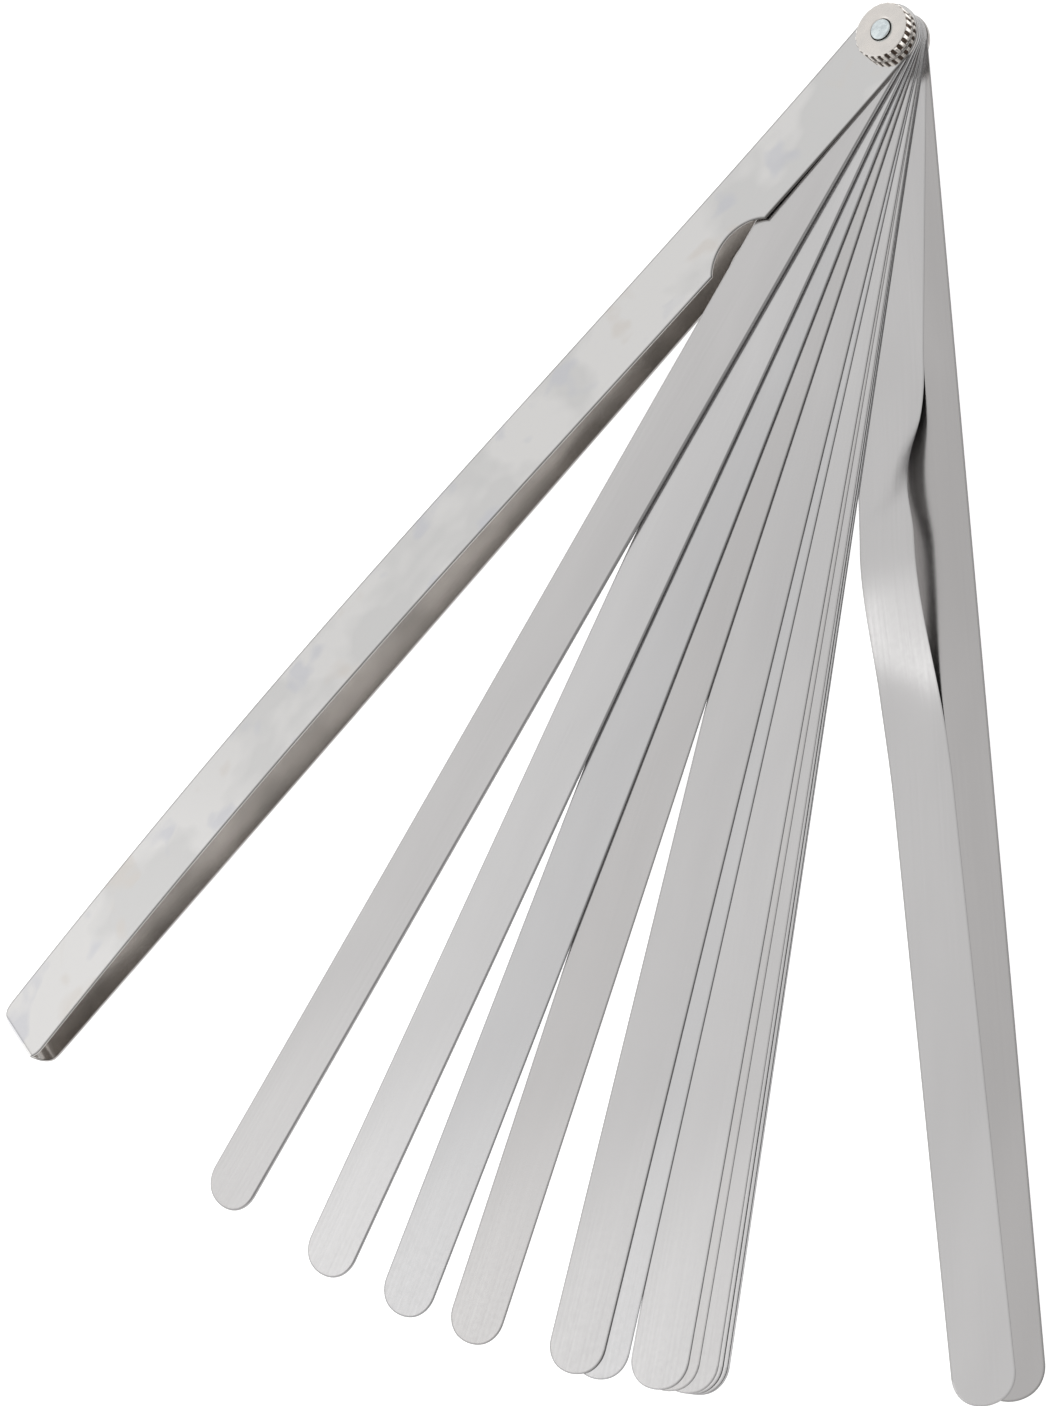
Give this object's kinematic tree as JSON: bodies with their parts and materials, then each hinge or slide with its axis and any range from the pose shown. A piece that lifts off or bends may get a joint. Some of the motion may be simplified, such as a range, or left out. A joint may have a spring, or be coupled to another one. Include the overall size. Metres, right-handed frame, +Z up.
{
  "type": "feeler gauge",
  "caption": "Long-leaf feeler gauge: thin steel leaves of stepped thickness fan out of a folded sheet-metal cover around a pivot screw with a knurled lock nut.",
  "frame": {"origin": "on the pivot axis, on the flat underside of the pivot screw's head, which the gauge rests on", "axes": "+Z up the pivot axis towards the lock nut, the cover points along -X, the leaves fan out of it towards -Y"},
  "size_m": [0.3102, 0.2531, 0.0116],
  "materials": {
    "nickel_plate": "nickel-plated sheet steel, bright with cloudy patches, duller inside",
    "zinc_plate": "bright blue-white zinc-plated steel",
    "nickel_nut": "warm nickel-plated steel, smooth turned top, bright knurl",
    "leaf_steel": "satin rolled spring steel"
  },
  "bodies": {
    "cover_and_screw": {"cover": "nickel_plate", "pivot_screw": "zinc_plate"},
    "lock_nut": {"lock_nut": "nickel_nut"},
    "leaf_1_00_mm": {"leaf_1_00_mm": "leaf_steel"},
    "leaf_0_75_mm": {"leaf_0_75_mm": "leaf_steel"},
    "leaf_0_50_mm": {"leaf_0_50_mm": "leaf_steel"},
    "leaf_0_40_mm": {"leaf_0_40_mm": "leaf_steel"},
    "leaf_0_25_mm": {"leaf_0_25_mm": "leaf_steel"},
    "leaf_0_20_mm": {"leaf_0_20_mm": "leaf_steel"},
    "leaf_0_15_mm": {"leaf_0_15_mm": "leaf_steel"},
    "leaf_0_10_mm": {"leaf_0_10_mm": "leaf_steel"},
    "leaf_0_09_mm": {"leaf_0_09_mm": "leaf_steel"},
    "leaf_0_08_mm": {"leaf_0_08_mm": "leaf_steel"},
    "leaf_0_07_mm": {"leaf_0_07_mm": "leaf_steel"},
    "leaf_0_06_mm": {"leaf_0_06_mm": "leaf_steel"},
    "leaf_0_05_mm": {"leaf_0_05_mm": "leaf_steel"},
    "leaf_0_04_mm": {"leaf_0_04_mm": "leaf_steel"},
    "leaf_0_03_mm": {"leaf_0_03_mm": "leaf_steel"},
    "leaf_0_02_mm": {"leaf_0_02_mm": "leaf_steel"},
    "leaf_0_30_mm": {"leaf_0_30_mm": "leaf_steel"}
  },
  "joints": [
    {"name": "lock_nut_turn", "type": "hinge", "parent": "cover_and_screw", "child": "lock_nut", "pos_m": [0, 0, 0.0073], "axis": [0, 0, 1], "continuous": true},
    {"name": "leaf_1_00_mm_swing", "type": "hinge", "parent": "cover_and_screw", "child": "leaf_1_00_mm", "pos_m": [0, 0, 0.0046], "axis": [0, 0, 1], "range_deg": [-14.8, 165.2]},
    {"name": "leaf_0_75_mm_swing", "type": "hinge", "parent": "cover_and_screw", "child": "leaf_0_75_mm", "pos_m": [0, 0, 0.0046], "axis": [0, 0, 1], "range_deg": [-21.3, 158.7]},
    {"name": "leaf_0_50_mm_swing", "type": "hinge", "parent": "cover_and_screw", "child": "leaf_0_50_mm", "pos_m": [0, 0, 0.0046], "axis": [0, 0, 1], "range_deg": [-25.9, 154.1]},
    {"name": "leaf_0_40_mm_swing", "type": "hinge", "parent": "cover_and_screw", "child": "leaf_0_40_mm", "pos_m": [0, 0, 0.0046], "axis": [0, 0, 1], "range_deg": [-29.7, 150.3]},
    {"name": "leaf_0_25_mm_swing", "type": "hinge", "parent": "cover_and_screw", "child": "leaf_0_25_mm", "pos_m": [0, 0, 0.0046], "axis": [0, 0, 1], "range_deg": [-35, 145]},
    {"name": "leaf_0_20_mm_swing", "type": "hinge", "parent": "cover_and_screw", "child": "leaf_0_20_mm", "pos_m": [0, 0, 0.0046], "axis": [0, 0, 1], "range_deg": [-36.2, 143.8]},
    {"name": "leaf_0_15_mm_swing", "type": "hinge", "parent": "cover_and_screw", "child": "leaf_0_15_mm", "pos_m": [0, 0, 0.0046], "axis": [0, 0, 1], "range_deg": [-39.1, 140.9]},
    {"name": "leaf_0_10_mm_swing", "type": "hinge", "parent": "cover_and_screw", "child": "leaf_0_10_mm", "pos_m": [0, 0, 0.0046], "axis": [0, 0, 1], "range_deg": [-39.6, 140.4]},
    {"name": "leaf_0_09_mm_swing", "type": "hinge", "parent": "cover_and_screw", "child": "leaf_0_09_mm", "pos_m": [0, 0, 0.0046], "axis": [0, 0, 1], "range_deg": [-40.5, 139.5]},
    {"name": "leaf_0_08_mm_swing", "type": "hinge", "parent": "cover_and_screw", "child": "leaf_0_08_mm", "pos_m": [0, 0, 0.0046], "axis": [0, 0, 1], "range_deg": [-40.7, 139.3]},
    {"name": "leaf_0_07_mm_swing", "type": "hinge", "parent": "cover_and_screw", "child": "leaf_0_07_mm", "pos_m": [0, 0, 0.0046], "axis": [0, 0, 1], "range_deg": [-40.6, 139.4]},
    {"name": "leaf_0_06_mm_swing", "type": "hinge", "parent": "cover_and_screw", "child": "leaf_0_06_mm", "pos_m": [0, 0, 0.0046], "axis": [0, 0, 1], "range_deg": [-40.9, 139.1]},
    {"name": "leaf_0_05_mm_swing", "type": "hinge", "parent": "cover_and_screw", "child": "leaf_0_05_mm", "pos_m": [0, 0, 0.0046], "axis": [0, 0, 1], "range_deg": [-40.8, 139.2]},
    {"name": "leaf_0_04_mm_swing", "type": "hinge", "parent": "cover_and_screw", "child": "leaf_0_04_mm", "pos_m": [0, 0, 0.0046], "axis": [0, 0, 1], "range_deg": [-41, 139]},
    {"name": "leaf_0_03_mm_swing", "type": "hinge", "parent": "cover_and_screw", "child": "leaf_0_03_mm", "pos_m": [0, 0, 0.0046], "axis": [0, 0, 1], "range_deg": [-40.9, 139.1]},
    {"name": "leaf_0_02_mm_swing", "type": "hinge", "parent": "cover_and_screw", "child": "leaf_0_02_mm", "pos_m": [0, 0, 0.0046], "axis": [0, 0, 1], "range_deg": [-53.6, 126.4]},
    {"name": "leaf_0_30_mm_swing", "type": "hinge", "parent": "cover_and_screw", "child": "leaf_0_30_mm", "pos_m": [0, 0, 0.0046], "axis": [0, 0, 1], "range_deg": [-55.1, 124.9]}
  ]
}
